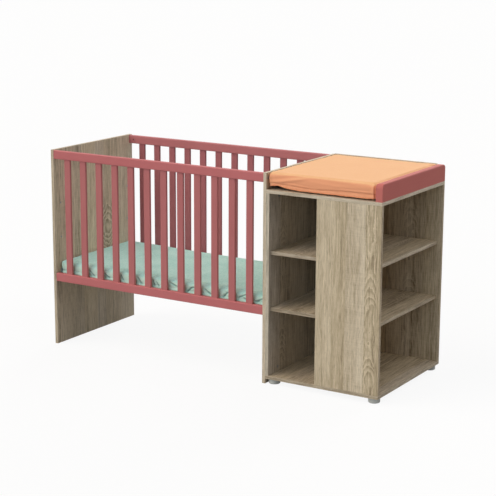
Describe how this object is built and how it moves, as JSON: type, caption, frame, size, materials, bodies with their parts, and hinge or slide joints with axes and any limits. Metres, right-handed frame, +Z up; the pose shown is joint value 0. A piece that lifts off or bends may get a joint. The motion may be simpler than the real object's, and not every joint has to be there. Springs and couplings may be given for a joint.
{
  "type": "crib with attached changer",
  "caption": "Barred crib with solid end panels and a slatted base, and a changing unit with open shelves, a raised guard and a padded mat fixed to one end.",
  "frame": {"origin": "middle of the footprint's box, on the floor", "axes": "+X along the crib towards the changer, +Y towards the rear, +Z up"},
  "size_m": [1.84, 0.66, 1.003],
  "materials": {
    "oak_decor": "oak-effect laminate, matt",
    "terracotta": "painted, satin",
    "pine": "planed, bare",
    "beech": "fluted, bare",
    "zinc_steel": "zinc-plated",
    "grey_plastic": "moulded, matt",
    "mint_sheet": "cotton jersey fitted sheet",
    "peach_cover": "cotton jersey fitted cover"
  },
  "bodies": {
    "frame": {"left_end_panel": "oak_decor", "right_end_panel": "oak_decor", "front_top_rail": "terracotta", "front_bottom_rail": "terracotta", "rear_top_rail": "terracotta", "rear_bottom_rail": "terracotta", "front_bar_1": "terracotta", "front_bar_2": "terracotta", "front_bar_3": "terracotta", "front_bar_4": "terracotta", "front_bar_5": "terracotta", "front_bar_6": "terracotta", "front_bar_7": "terracotta", "front_bar_8": "terracotta", "front_bar_9": "terracotta", "front_bar_10": "terracotta", "front_bar_11": "terracotta", "front_bar_12": "terracotta", "rear_bar_1": "terracotta", "rear_bar_2": "terracotta", "rear_bar_3": "terracotta", "rear_bar_4": "terracotta", "rear_bar_5": "terracotta", "rear_bar_6": "terracotta", "rear_bar_7": "terracotta", "rear_bar_8": "terracotta", "rear_bar_9": "terracotta", "rear_bar_10": "terracotta", "rear_bar_11": "terracotta", "rear_bar_12": "terracotta", "rail_bolts": "zinc_steel", "barrel_nuts": "zinc_steel", "wooden_dowels": "beech", "height_inserts": "zinc_steel", "base_brackets": "zinc_steel", "bracket_bolts": "zinc_steel", "changer_side_panel": "oak_decor", "changer_divider": "oak_decor", "changer_front_panel": "oak_decor", "changer_rear_panel": "oak_decor", "changer_top_board": "oak_decor", "changer_bottom_board": "oak_decor", "front_shelf_lower": "oak_decor", "front_shelf_upper": "oak_decor", "end_shelf_lower": "oak_decor", "end_shelf_upper": "oak_decor", "shelf_pins": "zinc_steel", "carcass_screws": "zinc_steel", "link_bolts": "zinc_steel", "wood_screws": "zinc_steel", "right_guard": "terracotta", "rear_guard": "oak_decor", "feet": "grey_plastic"},
    "slatted_base": {"base_side_rails": "pine", "base_end_rails": "pine", "base_slats": "pine", "base_frame_screws": "zinc_steel"},
    "mattress_body": {"mattress": "mint_sheet"},
    "mat_body": {"changing_mat": "peach_cover"}
  },
  "joints": [
    {"name": "base_height", "type": "slide", "parent": "frame", "child": "slatted_base", "axis": [0, 0, 1], "range_m": [0, 0.352]},
    {"name": "mattress_lift", "type": "slide", "parent": "slatted_base", "child": "mattress_body", "axis": [0, 0, 1], "range_m": [0, 0.66]},
    {"name": "mat_lift", "type": "slide", "parent": "frame", "child": "mat_body", "axis": [0, 0, 1], "range_m": [0, 0.09]}
  ]
}
